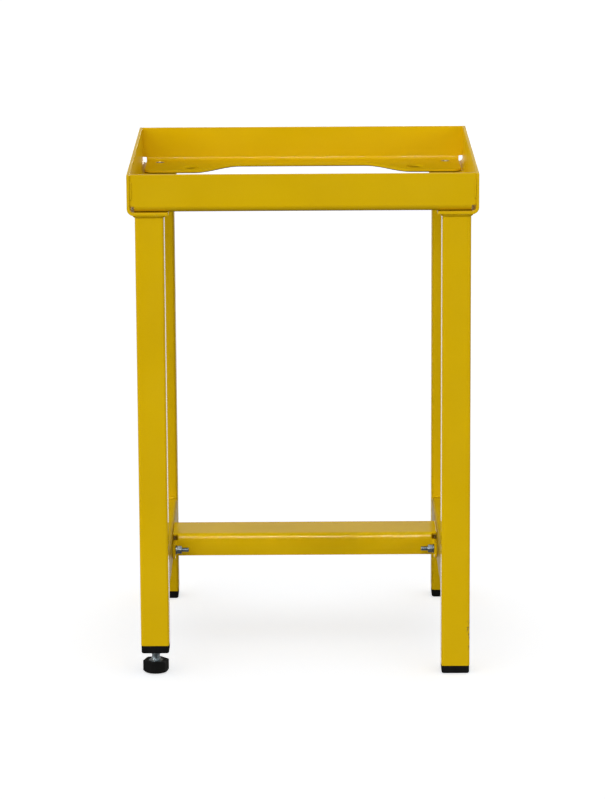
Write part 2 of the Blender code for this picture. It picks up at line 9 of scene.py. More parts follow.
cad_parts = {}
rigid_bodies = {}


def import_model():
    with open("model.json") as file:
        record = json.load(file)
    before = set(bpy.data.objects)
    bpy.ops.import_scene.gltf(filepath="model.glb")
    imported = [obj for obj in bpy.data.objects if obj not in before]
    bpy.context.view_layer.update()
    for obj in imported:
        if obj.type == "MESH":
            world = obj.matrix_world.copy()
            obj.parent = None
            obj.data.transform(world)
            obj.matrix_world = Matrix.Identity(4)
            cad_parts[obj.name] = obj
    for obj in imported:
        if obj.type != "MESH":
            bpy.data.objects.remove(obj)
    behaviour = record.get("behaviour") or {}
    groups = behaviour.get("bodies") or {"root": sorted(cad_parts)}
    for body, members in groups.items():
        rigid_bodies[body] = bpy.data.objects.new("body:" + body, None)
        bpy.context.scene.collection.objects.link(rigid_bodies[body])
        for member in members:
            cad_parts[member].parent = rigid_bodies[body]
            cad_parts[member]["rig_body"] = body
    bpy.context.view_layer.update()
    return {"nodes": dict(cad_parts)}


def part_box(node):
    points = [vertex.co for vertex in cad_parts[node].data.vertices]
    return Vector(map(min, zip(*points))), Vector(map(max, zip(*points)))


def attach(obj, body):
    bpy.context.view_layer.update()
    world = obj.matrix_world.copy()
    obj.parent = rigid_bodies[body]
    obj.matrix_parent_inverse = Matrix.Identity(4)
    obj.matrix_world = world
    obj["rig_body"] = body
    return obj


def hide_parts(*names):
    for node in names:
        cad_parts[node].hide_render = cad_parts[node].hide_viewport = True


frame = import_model()

SIDES = {"left": -1, "right": 1}
ENDS = {"front": -1, "rear": 1}

# Sizes that the pieces share, in metres
PLATE = 0.004
BEND_RADIUS = 0.0095
EDGE_ROUND = 0.0006
CORNER_ROUND = 0.0014
TUBE_CORNER = 0.004
TUBE_WALL = 0.002
TUBE_END_ROUND = 0.0005
FIT_GAP = 0.0003

# Tray rails
RAIL_FLANGE_MIDDLE = 0.045
RAIL_FLANGE_SIDE = 0.2325
RAIL_CORNER_RADIUS = 0.011
RAIL_END_REACH = {"front": 0.0003, "rear": 0.0009}
RELIEF_ABOVE_BOTTOM = 0.0083
LARGE_HOLE = 0.0240
LARGE_HOLE_X = 0.1655
LARGE_HOLE_FROM_FACE = 0.072
SHOULDER_OUTER = 0.160
SHOULDER_INNER = 0.092
INSERT_RECESS = 0.0146
# Painted shade along the tray rails' lower edge: dark up to this height above the plate's lowest point,
# fading over the next
SHADE_LINE_HEIGHT = 0.0009
SHADE_LINE_FADE = 0.0004

# Lower crossbar
BAR_BEND_RADIUS = 0.0085
BAR_TAB_LENGTH = 0.024
BAR_TAB_FOLD = 0.003
BAR_TAB_RELIEF = 0.0005
BAR_TAB_CORNER = 0.004
BAR_SLOT_SHARE = 0.72
BOLT_HOLE = 0.0073

# Fasteners
BOLT = 0.0063
BOLT_TIP = 0.0008
BOLT_THREAD_DEPTH = 0.00045
BOLT_THREAD_LENGTH = 0.026
BORE_CHAMFER = 0.0005
THREAD_PITCH = 0.00125
THREAD_LEAD = 0.0005
THREAD_CREST = 0.35
THREAD_FLANK = 0.4
TIP_SHARE = 0.42
HEX_ACROSS = 0.011
HEX_SHARPNESS = 70.0
HEX_TURN = 12.9
HEX_CHAMFER_SLOPE = 0.5
HEX_FACE = 0.0052
HEX_FACE_MIDDLE = 0.9
HEX_COLUMNS = (1.0, 2.2, 4.0, 7.0, 12.0, 18.0, 24.0)
RING_EDGE = 0.0004

# Tray inserts
INSERT_BORE = 0.0068
INSERT_BARREL = 0.011
INSERT_FLANGE = 0.0012
INSERT_LIP = 0.0084
INSERT_LIP_HEIGHT = 0.0006
INSERT_LIP_FALL = 0.0001
INSERT_EDGES = (0.0, 0.0, 0.0002, 0.0003, 0.0002, 0.0001, 0.0003, 0.0005, 0.0)
INSERT_THREAD_DEPTH = 0.0005
INSERT_THREAD_BELOW_TOP = 0.0008
INSERT_THREAD_FADE = 0.0004

# Plugs
CAP_HEAD = 0.011
CAP_ROUND = 0.0026
CAP_UNDERSIDE = 0.00416
CAP_PLUG_INSET = 0.0019
CAP_WALL = 0.003
CAP_FLOOR = 0.006
CAP_EDGES = (0.0, CAP_ROUND, 0.0003, 0.0003, 0.0006, 0.0006, 0.0)
CAP_LEAST_CORNER = 0.0008
CAP_HOLE_LEAN = 0.06

# Levelling foot
BUSH_OUTER = 0.018
STUD = 0.012
STUD_PITCH = 0.00175
STUD_NECK = 0.0012
STUD_TIP = 0.0012
STUD_TAIL = 0.014
STUD_EDGES = (0.0, 0.0003, 0.0003, 0.0005, 0.0004, 0.0)
STUD_THREAD_DEPTH = 0.00045
STUD_THREAD_START = 0.0013
STUD_THREAD_FADE = 0.001
COLLAR = 0.020
COLLAR_HEIGHT = 0.003
KNOB_ACROSS = 0.0325
KNOB_TURN = 12.4
KNOB_FOOTPRINT = 0.0332
KNOB_FOOT_EDGE = 0.0006
KNOB_FOOT_RISE = 0.0004
KNOB_SKIRT = 0.0035
KNOB_SKIRT_LEAST = 0.0005
KNOB_TOP_ROUND = 0.0008
KNOB_CHAMFER_SLOPE = 0.9
KNOB_RECESS_EDGE = 0.0004
SOLE = 0.027
SOLE_MIDDLE = 0.004
SOLE_EDGES = (0.0, 0.0008, 0.0003, 0.0)

# Weld beads
RIPPLE_LENGTH = 0.0019
RIPPLE_HEIGHT = 0.035
WANDER_HEIGHT = 0.06
WANDER_TURNS = 2.3
WANDER_PHASE = 1.7
BEAD_HOLLOW = 1.25
BEAD_END = 0.004
BEAD_LEAST = 0.02
BEAD_FULLEST = 1.12
RING_PHASE = 40.0

# Counts of points in the meshes, and how they are filled
EDGE_STEPS = 4
FOLD_STEPS = 14
FOLD_MARGIN = 0.002
TAB_FOLD_STEPS = 9
TAB_FOLD_MARGIN = 0.01
SHOULDER_STEPS = 25
CORNER_STEPS = 10
HOLE_STEPS = 48
SHAFT_STEPS = 56
SOLE_STEPS = 72
KNOB_STEPS = 6
THREAD_STEPS = 10
RIPPLE_STEPS = 7
RING_RIPPLE_STEPS = 6
BEAD_STEPS = 9
RING_BEAD_STEPS = 8
TOUCH = 1e-7
FILL_SCALE = 1000.0
FILL_TOLERANCE = 1e-6
ALL_TRIANGLES = 0
RIM_GAIN = 12

# Colours of the finishes
COAT_TONES = ((0.3, (0.610, 0.385, 0.0018)), (0.7, (0.660, 0.425, 0.0026)))
COAT_RIM = (0.46, 0.25, 0.003, 1.0)
COAT_DUST = (0.62, 0.50, 0.20, 1.0)
COAT_CHIP = (0.10, 0.075, 0.05, 1.0)
# Painted shade: the dark line along the tray rails' lower edge, where they lap the side angles
COAT_SEAM_SHADE = (0.09, 0.045, 0.002, 1.0)
PLASTIC_RIM = (0.022, 0.022, 0.022, 1.0)
PLASTIC_DUST = (0.18, 0.17, 0.15, 1.0)
RUBBER_DUST = (0.20, 0.18, 0.16, 1.0)
ZINC_TONES = ((0.32, (0.022, 0.030, 0.034)), (0.55, (0.045, 0.054, 0.060)), (0.74, (0.070, 0.067, 0.052)))
ZINC_CREST = (0.12, 0.125, 0.125, 1.0)
DULL_TONES = ((0.32, (0.060, 0.055, 0.032)), (0.55, (0.105, 0.096, 0.064)), (0.74, (0.140, 0.128, 0.090)))
DULL_CREST = (0.17, 0.16, 0.13, 1.0)

# Skin of the finishes
FINE_DIMPLES = 3.1
FINE_DIMPLE_HEIGHT = 0.35
GLOSS_CLOUDS = 23.0
DUST_CLOUDS = 14.0
COAT_REFLECTION = 0.015
PLASTIC_REFLECTION = 0.012
CHIP_INSET = 0.0008
CHIP_HEIGHT = 0.058
CHIP_REACH = (220.0, 220.0, 34.0)

# Studio
FLOOR_REACH = 60.0
FLOOR_LIFT = 0.60
FLOOR_LIT = (0.3, 0.3, 0.3, 1.0)
FLOOR_SEEN = (0.71, 0.737, 0.785, 1.0)
LIGHT_MIDDLE = (0.0, -0.866, 0.5)
LIGHT_EVEN = 0.125
LIGHT_FRONT = 0.40
LAMP_SPREAD = 18.0
LAMP_DISTANCE = 4.0
FLOOR_LAMP_SPREAD = 120.0
STAND_MIDDLE = (0.0, 0.0, 0.4)
FRONT_BOX = (-0.3, -3.2, 3.0)

# Camera
CAMERA_TURN = 0.023
CAMERA_DIP = 12.2613
CAMERA_ROLL = -0.3225


def unit(vectors):
    """Vectors made one long; those without length stay as they are."""
    length = np.linalg.norm(vectors, axis=-1, keepdims=True)
    return vectors / np.where(length > 0, length, 1.0)


def direction(angle):
    """Unit vectors in a plane, by their angle."""
    return np.stack([np.cos(angle), np.sin(angle)], -1)


def filleted(corners, radii, steps=4, closed=True):
    """Polyline through corners, each turned by an arc of its radius that touches both sides."""
    corners = np.asarray(corners, float)
    radii = np.broadcast_to(radii, len(corners))
    made = []
    for number, corner in enumerate(corners):
        radius = radii[number]
        open_end = not closed and number in (0, len(corners) - 1)
        if radius <= 0 or open_end:
            made.append(corner[None])
            continue
        back = unit(corners[number - 1] - corner)
        ahead = unit(corners[(number + 1) % len(corners)] - corner)
        half = math.acos(np.clip(back @ ahead, -1.0, 1.0)) / 2
        centre = corner + unit(back + ahead) * radius / math.sin(half)
        first = corner + back * radius / math.tan(half) - centre
        last = corner + ahead * radius / math.tan(half) - centre
        sweep = math.pi - 2 * half
        share = np.linspace(0.0, 1.0, steps + 1)[:, None]
        arc = (np.sin((1 - share) * sweep) * first + np.sin(share * sweep) * last) / math.sin(sweep)
        made.append(centre + arc)
    return np.concatenate(made)


def skin(grid, joined=False, capped=False):
    """Quads over a grid of points (rows, columns, 3) whose columns run round.

    Where it is asked for, the last row joins the first one, or flat faces cap both."""
    rows, columns = grid.shape[:2]
    index = np.arange(rows * columns).reshape(rows, columns)
    row = np.arange(rows if joined else rows - 1)[:, None]
    column = np.arange(columns)[None, :]
    below = (row + 1) % rows
    after = (column + 1) % columns
    quads = np.stack([index[row, column], index[below, column], index[below, after], index[row, after]], -1)
    faces = [quads.reshape(-1, 4)]
    if capped:
        faces += [index[0][None, :], index[-1][None, ::-1]]
    return grid.reshape(-1, 3), faces


def square_ring():
    """Directions to a square's corners, repeated along each corner's arc, and the arc's own directions."""
    middle = np.pi / 4 + np.pi / 2 * np.arange(4)
    spread = np.linspace(-np.pi / 4, np.pi / 4, CORNER_STEPS + 1)
    angle = (middle[:, None] + spread).ravel()
    middle = np.repeat(middle, CORNER_STEPS + 1)
    return direction(middle), direction(angle)


def square_rows(half, corner, level):
    """Rings of a square with round corners: row by row half its width, a corner radius and a level.

    A point is the corner arc's centre, which lies on the corner's line, plus the radius outwards."""
    to_corner, outward = square_ring()
    half = half[:, None, None]
    corner = corner[:, None, None]
    flat = (half - corner) / math.cos(math.pi / 4) * to_corner + corner * outward
    height = np.broadcast_to(level[:, None, None], flat.shape[:2] + (1,))
    return np.concatenate([flat, height], -1)


def even_columns(count):
    """Angles of evenly spaced columns round an axis."""
    return 2 * np.pi * np.arange(count) / count


def hexagon_columns(turn):
    """Angles of columns round a hexagon, closer together at its corners; the first corner is at the turn."""
    away = np.radians(HEX_COLUMNS)
    sector = np.concatenate([-away[::-1], [0.0], away, [np.pi / 6]])
    return (turn + np.pi / 3 * np.arange(6)[:, None] + sector).ravel()


def hexagon_reach(angle, apothem, turn):
    """Distance from the axis to a hexagon's sides by angle, its corners slightly round.

    It is the apothem over a high-power norm of the cosines to the six flats."""
    flats = turn + np.pi / 6 + np.pi / 3 * np.arange(6)
    cosine = np.maximum(np.cos(angle[:, None] - flats), 0.0)
    return apothem / np.sum(cosine ** HEX_SHARPNESS, 1) ** (1 / HEX_SHARPNESS)


def round_rows(angle, rows):
    """Rows of points round an axis from (radius, level) pairs, which are numbers or go by the angle."""
    columns = ([np.broadcast_to(value, angle.shape) for value in column] for column in zip(*rows))
    radius, level = (np.stack(column)[..., None] for column in columns)
    return np.concatenate([radius * direction(angle), level], -1)


def thread_rows(radius, low, high, pitch, fade):
    """Rows of a threaded length and the share of thread depth, which fades at both ends."""
    level = np.linspace(low, high, max(2, int(round((high - low) / pitch * THREAD_STEPS))))
    share = np.clip(np.minimum(level - low, high - level) / fade, 0.0, 1.0)
    return np.stack([np.full_like(level, radius), level], 1), share


def threaded(profile, angle, pitch, depth, share):
    """Surface of revolution from (radius, level) rows, less a thread that runs by a right-hand helix.

    By turns from a crest the thread has a flat crest, straight flanks and a flat root."""
    radius, level = profile[:, :1], profile[:, 1:]
    turns = level / pitch - angle / (2 * np.pi)
    from_crest = np.abs(turns - np.round(turns)) * 2
    fall = np.clip((from_crest - THREAD_CREST) / THREAD_FLANK, 0.0, 1.0)
    return round_rows(angle, zip(radius - depth * share[:, None] * fall, level))


def offset_loop(loop, distance):
    """Loop moved to its left, into the plate, with mitred corners."""
    ahead = unit(np.roll(loop, -1, 0) - loop)
    left_ahead = np.stack([-ahead[:, 1], ahead[:, 0]], 1)
    left_back = np.roll(left_ahead, 1, 0)
    mitre = (left_ahead + left_back) / (1 + np.sum(left_ahead * left_back, 1, keepdims=True))
    return loop + mitre * distance


def with_stops(loop, axis, levels):
    """Loop with a point added wherever a side crosses one of the levels of an axis."""
    for level in levels:
        here = loop[:, axis] - level
        ahead = np.roll(loop, -1, 0)
        there = ahead[:, axis] - level
        side = np.nonzero((np.abs(here) > TOUCH) & (np.abs(there) > TOUCH) & (here * there < 0))[0]
        share = (here[side] / (here[side] - there[side]))[:, None]
        loop = np.insert(loop, side + 1, loop[side] + share * (ahead[side] - loop[side]), axis=0)
    return loop


def hole_loop(across, centre):
    """Round hole in a plate, run clockwise so that the plate lies on its left."""
    return np.asarray(centre, float) + across / 2 * direction(-even_columns(HOLE_STEPS))


def plate_edges(loops):
    """Edges of a plate: a section of two quarter rounds carried round the outline and every hole.

    Returns points, faces and the numbers of the points at the rims of the top and bottom faces."""
    turn = np.linspace(0.0, np.pi / 2, EDGE_STEPS)
    inset = EDGE_ROUND * np.concatenate([1 - np.sin(turn), 1 - np.cos(turn)])
    depth = np.concatenate([PLATE - EDGE_ROUND * (1 - np.cos(turn)), EDGE_ROUND * (1 - np.sin(turn))])
    points, faces, tops, bottoms, start = [], [], [], [], 0
    for loop in loops:
        count = len(loop)
        rings = [np.column_stack([offset_loop(loop, i), np.full(count, d)]) for i, d in zip(inset, depth)]
        ring_points, ring_faces = skin(np.stack(rings))
        points.append(ring_points)
        faces.append(ring_faces[0] + start)
        tops.append(start + np.arange(count))
        bottoms.append(start + count * (len(inset) - 1) + np.arange(count))
        start += len(ring_points)
    return np.concatenate(points), faces, np.concatenate(tops), np.concatenate(bottoms)


def fold_edges(outline, axis, levels):
    """Mesh edges over a plate at its fold rows: the two points of the outline on each level of an axis."""
    edges = []
    for level in levels:
        on_line = np.nonzero(np.abs(outline[:, axis] - level) < TOUCH)[0]
        order = np.argsort(outline[on_line, 1 - axis])
        edges.append(on_line[order][:2].tolist())
    return edges


def plate(outline, holes, across_folds, along_folds=()):
    """Flat plate in (along, across, depth) and its faces.

    The two flat faces are filled with triangles between the plate's rounded edges, with rows of mesh edges
    kept along the lines of the folds. A triangle within the rim of a hole is left out."""
    outline = with_stops(with_stops(outline, 1, across_folds), 0, along_folds)
    loops = [outline] + list(holes)
    points, faces, tops, bottoms = plate_edges(loops)
    inner = np.concatenate([offset_loop(loop, EDGE_ROUND) for loop in loops])
    corners = [Vector(point) for point in inner * FILL_SCALE]
    folds = fold_edges(outline, 1, across_folds) + fold_edges(outline, 0, along_folds)
    ends = np.cumsum([len(loop) for loop in loops]).tolist()
    rims = [list(range(ends[0]))]
    rims += [list(range(start, stop))[::-1] for start, stop in zip(ends, ends[1:])]
    filled = geometry.delaunay_2d_cdt(corners, folds, rims, ALL_TRIANGLES, FILL_TOLERANCE)
    met, _, triangles, origins, _, within = filled
    met = np.array(met) / FILL_SCALE
    crossings = [number for number, origin in enumerate(origins) if not origin]
    top_of = np.array([tops[origin[0]] if origin else 0 for origin in origins])
    bottom_of = np.array([bottoms[origin[0]] if origin else 0 for origin in origins])
    if crossings:
        added = met[crossings]
        top_of[crossings] = len(points) + np.arange(len(added))
        bottom_of[crossings] = len(points) + len(added) + np.arange(len(added))
        added = [np.column_stack([added, np.full(len(added), level)]) for level in (PLATE, 0.0)]
        points = np.concatenate([points] + added)
    triangles = np.array([triangle for triangle, rim in zip(triangles, within) if rim == [0]])
    faces += [top_of[triangles], bottom_of[triangles][:, ::-1]]
    return points, faces


def folded(points, straight, radius):
    """A plate carried round one fold: straight, then an arc of the radius on its outside, then straight on.

    Returns how far each point lies inwards of the outside face, and how far along it before the fold."""
    across, depth = points[:, 1], points[:, 2]
    turn = np.clip((across - straight) / radius, 0.0, np.pi / 2)
    past = np.maximum(across - straight - radius * np.pi / 2, 0.0)
    inward = radius - (radius - depth) * np.cos(turn) + past
    along = np.minimum(across, straight) + (radius - depth) * np.sin(turn)
    return inward, along


def fold_rows(straight, radius):
    """Levels across a flat plate at which its fold is divided."""
    return straight + radius * np.pi / 2 * np.linspace(FOLD_MARGIN, 1 - FOLD_MARGIN, FOLD_STEPS + 1)


def point_normals(points, faces):
    """Normals and rim values of points, and 1 or -1 as the faces point outwards or inwards.

    Each normal is the sum of its faces' normals, each as long as its face is large, so that flats stay flat
    up to their rounded edges. The rim value is how sharply the surface turns at a point."""
    normals = np.zeros_like(points)
    spread = np.zeros(len(points))
    weight = np.zeros(len(points))
    volume = 0.0
    face_normals = []
    for group in faces:
        corners = points[group]
        normal = np.cross(corners, np.roll(corners, -1, 1)).sum(1)
        volume += np.sum(corners[:, 0] * normal)
        face_normals.append(normal)
        for corner in group.T:
            np.add.at(normals, corner, normal)
    normals = unit(normals)
    for group, normal in zip(faces, face_normals):
        for corner in group.T:
            np.add.at(spread, corner, 1 - np.sum(unit(normal) * normals[corner], 1))
            np.add.at(weight, corner, 1.0)
    rim = np.clip(spread / np.maximum(weight, 1.0) * RIM_GAIN, 0.0, 1.0)
    return normals, rim, 1 if volume > 0 else -1


def put(name, data):
    """A new object of a name, with its data, in the scene."""
    made = bpy.data.objects.new(name, data)
    bpy.context.scene.collection.objects.link(made)
    return made


def make_piece(node, suffix, surface, finish, place=(0.0, 0.0, 0.0)):
    """A named piece, stood at its place, that stands for a CAD node and rides on its body."""
    points, faces = surface
    points = points + np.asarray(place, float)
    normals, rim, order = point_normals(points, faces)
    name = f"{node}_{suffix}"
    mesh = bpy.data.meshes.new(name)
    mesh.from_pydata(points.tolist(), [], [face for group in faces for face in group[:, ::order].tolist()])
    mesh.shade_smooth()
    mesh.normals_split_custom_set_from_vertices((normals * order).tolist())
    mesh.attributes.new("rim", "FLOAT", "POINT").data.foreach_set("value", rim.astype(np.float32))
    mesh.materials.append(finish)
    piece = put(name, mesh)
    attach(piece, frame["nodes"][node]["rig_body"])
    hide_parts(node)


def feed(tree, socket, value):
    """Link an input to another node's output, or set its value."""
    if isinstance(value, bpy.types.NodeSocket):
        tree.links.new(value, socket)
    else:
        socket.default_value = value


def add_node(tree, kind, *values, **named):
    """A shader node with inputs set or linked in order, or by names whose underscores stand for spaces."""
    made = tree.nodes.new(f"ShaderNode{kind}")
    for number, value in enumerate(values):
        feed(tree, made.inputs[number], value)
    for key, value in named.items():
        feed(tree, made.inputs[key.replace("_", " ")], value)
    return made


def math_node(tree, operation, first, second):
    """One step of arithmetic in a shader."""
    made = add_node(tree, "Math", first, second)
    made.operation = operation
    return made.outputs[0]


def vector_node(tree, operation, *values):
    """One step of vector arithmetic in a shader."""
    made = add_node(tree, "VectorMath", *values)
    made.operation = operation
    return made.outputs


def carried(tree, value, low, high, first=0.0, last=1.0):
    """Value carried from the stretch between low and high to the one between first and last, and clipped."""
    return add_node(tree, "MapRange", value, low, high, first, last).outputs[0]


def ramp(tree, value, stops):
    """Value read through a ramp of (place, grey or colour) stops."""
    made = add_node(tree, "ValToRGB", value)
    for number, (place, tone) in enumerate(stops):
        colour = tone if isinstance(tone, tuple) else (tone, tone, tone)
        stop = made.color_ramp.elements[number] if number < 2 else made.color_ramp.elements.new(place)
        stop.position = place
        stop.color = (*colour, 1.0)
    return made.outputs["Color"]


def blend(tree, share, first, second):
    """Mix of two colours by a share; the node's colour inputs are its seventh and eighth."""
    made = tree.nodes.new("ShaderNodeMix")
    made.data_type = "RGBA"
    for number, value in ((0, share), (6, first), (7, second)):
        feed(tree, made.inputs[number], value)
    return made.outputs[2]


def noise(tree, vector, scale, detail=2.0, roughness=0.5):
    """Cloud noise on a vector; the scale is in features to the metre."""
    named = {"Scale": scale, "Detail": detail, "Roughness": roughness}
    return add_node(tree, "TexNoise", vector, **named).outputs[0]


def new_group(name, values, results):
    """An empty node group that reads a vector and some values; returns it with its sockets."""
    group = bpy.data.node_groups.new(name, "ShaderNodeTree")
    group.interface.new_socket("Vector", in_out="INPUT", socket_type="NodeSocketVector")
    for label in values:
        group.interface.new_socket(label, in_out="INPUT", socket_type="NodeSocketFloat")
    for label in results:
        group.interface.new_socket(label, in_out="OUTPUT", socket_type="NodeSocketFloat")
    return group, group.nodes.new("NodeGroupInput").outputs, group.nodes.new("NodeGroupOutput").inputs


def orange_peel_group():
    """Skin of a baked coating: broad soft dimples with finer ones among them, and a gloss that drifts."""
    group, given, result = new_group("orange_peel", ("Dimples", "Low", "High"), ("Height", "Roughness"))
    broad = noise(group, given["Vector"], given["Dimples"], 1.0)
    fine = noise(group, given["Vector"], math_node(group, "MULTIPLY", given["Dimples"], FINE_DIMPLES), 1.0)
    height = math_node(group, "ADD", broad, math_node(group, "MULTIPLY", fine, FINE_DIMPLE_HEIGHT))
    group.links.new(height, result["Height"])
    cloud = noise(group, given["Vector"], GLOSS_CLOUDS, 3.0)
    group.links.new(carried(group, cloud, 0.3, 0.7, given["Low"], given["High"]), result["Roughness"])
    return group


def edge_wear_group():
    """Mask of rubbed rims: the rim attribute, broken up by noise."""
    group, given, result = new_group("edge_wear", ("Grain", "Amount"), ("Mask",))
    rim = group.nodes.new("ShaderNodeAttribute")
    rim.attribute_name = "rim"
    broken = noise(group, given["Vector"], given["Grain"], 3.0, 0.6)
    rubbed = math_node(group, "MULTIPLY", rim.outputs["Fac"], carried(group, broken, 0.42, 0.62))
    group.links.new(math_node(group, "MULTIPLY", rubbed, given["Amount"]), result["Mask"])
    return group


def dust_group():
    """Mask of fine dust: faint clouds with scattered specks."""
    group, given, result = new_group("dust", ("Specks", "Amount"), ("Mask",))
    cloud = carried(group, noise(group, given["Vector"], DUST_CLOUDS, 4.0, 0.6), 0.4, 0.75)
    specks = carried(group, noise(group, given["Vector"], given["Specks"], 1.0), 0.68, 0.78)
    both = math_node(group, "ADD", math_node(group, "MULTIPLY", cloud, 0.5), specks)
    group.links.new(math_node(group, "MULTIPLY", both, given["Amount"]), result["Mask"])
    return group


ORANGE_PEEL = orange_peel_group()
EDGE_WEAR = edge_wear_group()
DUST = dust_group()


def new_material(name):
    """Material with its shader and the object's coordinates ready."""
    material = bpy.data.materials.new(name)
    material.use_nodes = True
    tree = material.node_tree
    place = tree.nodes.new("ShaderNodeTexCoord").outputs["Object"]
    return material, tree, tree.nodes["Principled BSDF"], place


def use_group(tree, group, place, **named):
    """A placed copy of a node group with its own values."""
    made = tree.nodes.new("ShaderNodeGroup")
    made.node_tree = group
    feed(tree, made.inputs["Vector"], place)
    for key, value in named.items():
        feed(tree, made.inputs[key], value)
    return made.outputs


def worn(tree, place, colour, tone, grain, amount):
    """Colour with its rims rubbed to another tone."""
    return blend(tree, use_group(tree, EDGE_WEAR, place, Grain=grain, Amount=amount)["Mask"], colour, tone)


def dusted(tree, place, colour, tone, specks, amount):
    """Colour with a little dust over it."""
    return blend(tree, use_group(tree, DUST, place, Specks=specks, Amount=amount)["Mask"], colour, tone)


def lay_finish(tree, shader, place, colour, dimples, depth, low, high):
    """Give a shader its colour, a skin with dimples of a depth, and a roughness between low and high."""
    tree.links.new(colour, shader.inputs["Base Color"])
    peel = use_group(tree, ORANGE_PEEL, place, Dimples=dimples, Low=low, High=high)
    tree.links.new(peel["Roughness"], shader.inputs["Roughness"])
    bump = add_node(tree, "Bump", Height=peel["Height"], Distance=depth, Strength=1.0)
    tree.links.new(bump.outputs[0], shader.inputs["Normal"])


def chip_mask(tree, place):
    """Small knocks in the coat near the foot of a leg's outer front edge."""
    low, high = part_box("front_right_leg")
    middle = (high.x - CHIP_INSET, low.y + CHIP_INSET, CHIP_HEIGHT)
    away = vector_node(tree, "MULTIPLY", vector_node(tree, "SUBTRACT", place, middle)[0], CHIP_REACH)[0]
    near = carried(tree, vector_node(tree, "LENGTH", away)["Value"], 0.5, 1.0, 1.0, 0.0)
    spots = carried(tree, noise(tree, place, 330.0, 2.0), 0.56, 0.60)
    return math_node(tree, "MULTIPLY", near, spots)


def yellow_coat(name, low=0.06, high=0.10, chipped=False, shade_line_level=None):
    """Yellow powder coat: dimpled skin, slow drifts of tone, thin darker rims and a little dust.

    Where it is asked for, it has knocks at the foot of a leg, or painted shade: a dark line below a given
    level."""
    material, tree, shader, place = new_material(name)
    drift = math_node(tree, "MULTIPLY", noise(tree, place, 9.0, 4.0), 0.75)
    grain = math_node(tree, "MULTIPLY", noise(tree, place, 1400.0, 1.0), 0.25)
    colour = ramp(tree, math_node(tree, "ADD", drift, grain), COAT_TONES)
    colour = worn(tree, place, colour, COAT_RIM, grain=420.0, amount=0.35)
    colour = dusted(tree, place, colour, COAT_DUST, specks=1100.0, amount=0.02)
    if chipped:
        colour = blend(tree, chip_mask(tree, place), colour, COAT_CHIP)
    # Painted shade: darker below the level given
    if shade_line_level:
        level = add_node(tree, "SeparateXYZ", place).outputs["Z"]
        colour = blend(tree, carried(tree, level, shade_line_level, shade_line_level + SHADE_LINE_FADE, 1.0, 0.0), colour, COAT_SEAM_SHADE)
    shader.inputs["Specular IOR Level"].default_value = COAT_REFLECTION
    lay_finish(tree, shader, place, colour, dimples=600.0, depth=0.00008, low=low, high=high)
    return material


def black_moulding(name):
    """Black moulded plastic with a fine spark-eroded texture, greyer rubbed rims and dust."""
    material, tree, shader, place = new_material(name)
    tone = ramp(tree, noise(tree, place, 60.0, 3.0), ((0.3, 0.0045), (0.7, 0.0075)))
    tone = worn(tree, place, tone, PLASTIC_RIM, grain=700.0, amount=0.25)
    tone = dusted(tree, place, tone, PLASTIC_DUST, specks=1500.0, amount=0.03)
    shader.inputs["Specular IOR Level"].default_value = PLASTIC_REFLECTION
    lay_finish(tree, shader, place, tone, dimples=2200.0, depth=0.00003, low=0.55, high=0.70)
    return material


def zinc_plate(name, tones, crest, low, high):
    """Zinc plate: blue passivation with straw patches, and rubbed crests."""
    material, tree, shader, place = new_material(name)
    colour = ramp(tree, noise(tree, place, 160.0, 3.0), tones)
    colour = worn(tree, place, colour, crest, grain=900.0, amount=0.6)
    shader.inputs["Metallic"].default_value = 1.0
    lay_finish(tree, shader, place, colour, dimples=1800.0, depth=0.00002, low=low, high=high)
    return material


def black_rubber(name):
    """Matt rubber of the sole, with floor dust."""
    material, tree, shader, place = new_material(name)
    tone = ramp(tree, noise(tree, place, 400.0, 4.0), ((0.3, 0.007), (0.7, 0.016)))
    tone = dusted(tree, place, tone, RUBBER_DUST, specks=1200.0, amount=0.10)
    lay_finish(tree, shader, place, tone, dimples=1600.0, depth=0.00006, low=0.68, high=0.82)
    return material


YELLOW = yellow_coat("yellow_powder_coat")
YELLOW_HALF_GLOSS = yellow_coat("yellow_powder_coat_half_gloss", low=0.26, high=0.34)
YELLOW_SATIN = yellow_coat("yellow_powder_coat_satin", low=0.33, high=0.40)
YELLOW_CHIPPED = yellow_coat("yellow_powder_coat_chipped", chipped=True)
# Tray rails' coat, with painted shade along the lower edge where they lap the side angles
YELLOW_LAP_SHADE = yellow_coat("yellow_powder_coat_lapped", shade_line_level=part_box("front_rail")[0].z + SHADE_LINE_HEIGHT)
PLASTIC = black_moulding("black_moulding")
ZINC = zinc_plate("zinc_plate", ZINC_TONES, ZINC_CREST, low=0.36, high=0.46)
ZINC_DULL = zinc_plate("zinc_plate_dull", DULL_TONES, DULL_CREST, low=0.50, high=0.60)
RUBBER = black_rubber("black_rubber")

LEG_FINISH = {
    "front_left": YELLOW,
    "front_right": YELLOW_CHIPPED,
    "rear_left": YELLOW_HALF_GLOSS,
    "rear_right": YELLOW_HALF_GLOSS,
}


def box_centre(node):
    """Middle of a CAD node's box."""
    low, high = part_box(node)
    return (low + high) / 2


def floor_point(node):
    """Point on the floor below the middle of a CAD node's box."""
    low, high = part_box(node)
    return (low.x + high.x) / 2, (low.y + high.y) / 2, 0.0


def mirrored(half):
    """Outline whose second half is the first one mirrored in X."""
    return half + [(-x, y) for x, y in reversed(half)]


def side_angle(side_name, side):
    """Tray side: a plain plate with one fold, drawn out along the depth."""
    node = f"{side_name}_side_angle"
    low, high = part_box(node)
    face = high.x if side > 0 else -low.x
    edge = -high.x if side < 0 else low.x
    straight = high.z - low.z - BEND_RADIUS
    width = straight + BEND_RADIUS * np.pi / 2 + face - edge - BEND_RADIUS
    outline = filleted([(low.y, 0), (high.y, 0), (high.y, width), (low.y, width)], CORNER_ROUND)
    points, faces = plate(outline, [], fold_rows(straight, BEND_RADIUS))
    inward, down = folded(points, straight, BEND_RADIUS)
    placed = np.stack([side * (face - inward), points[:, 0], high.z - down], 1)
    make_piece(node, "plate", (placed, faces), YELLOW_HALF_GLOSS)


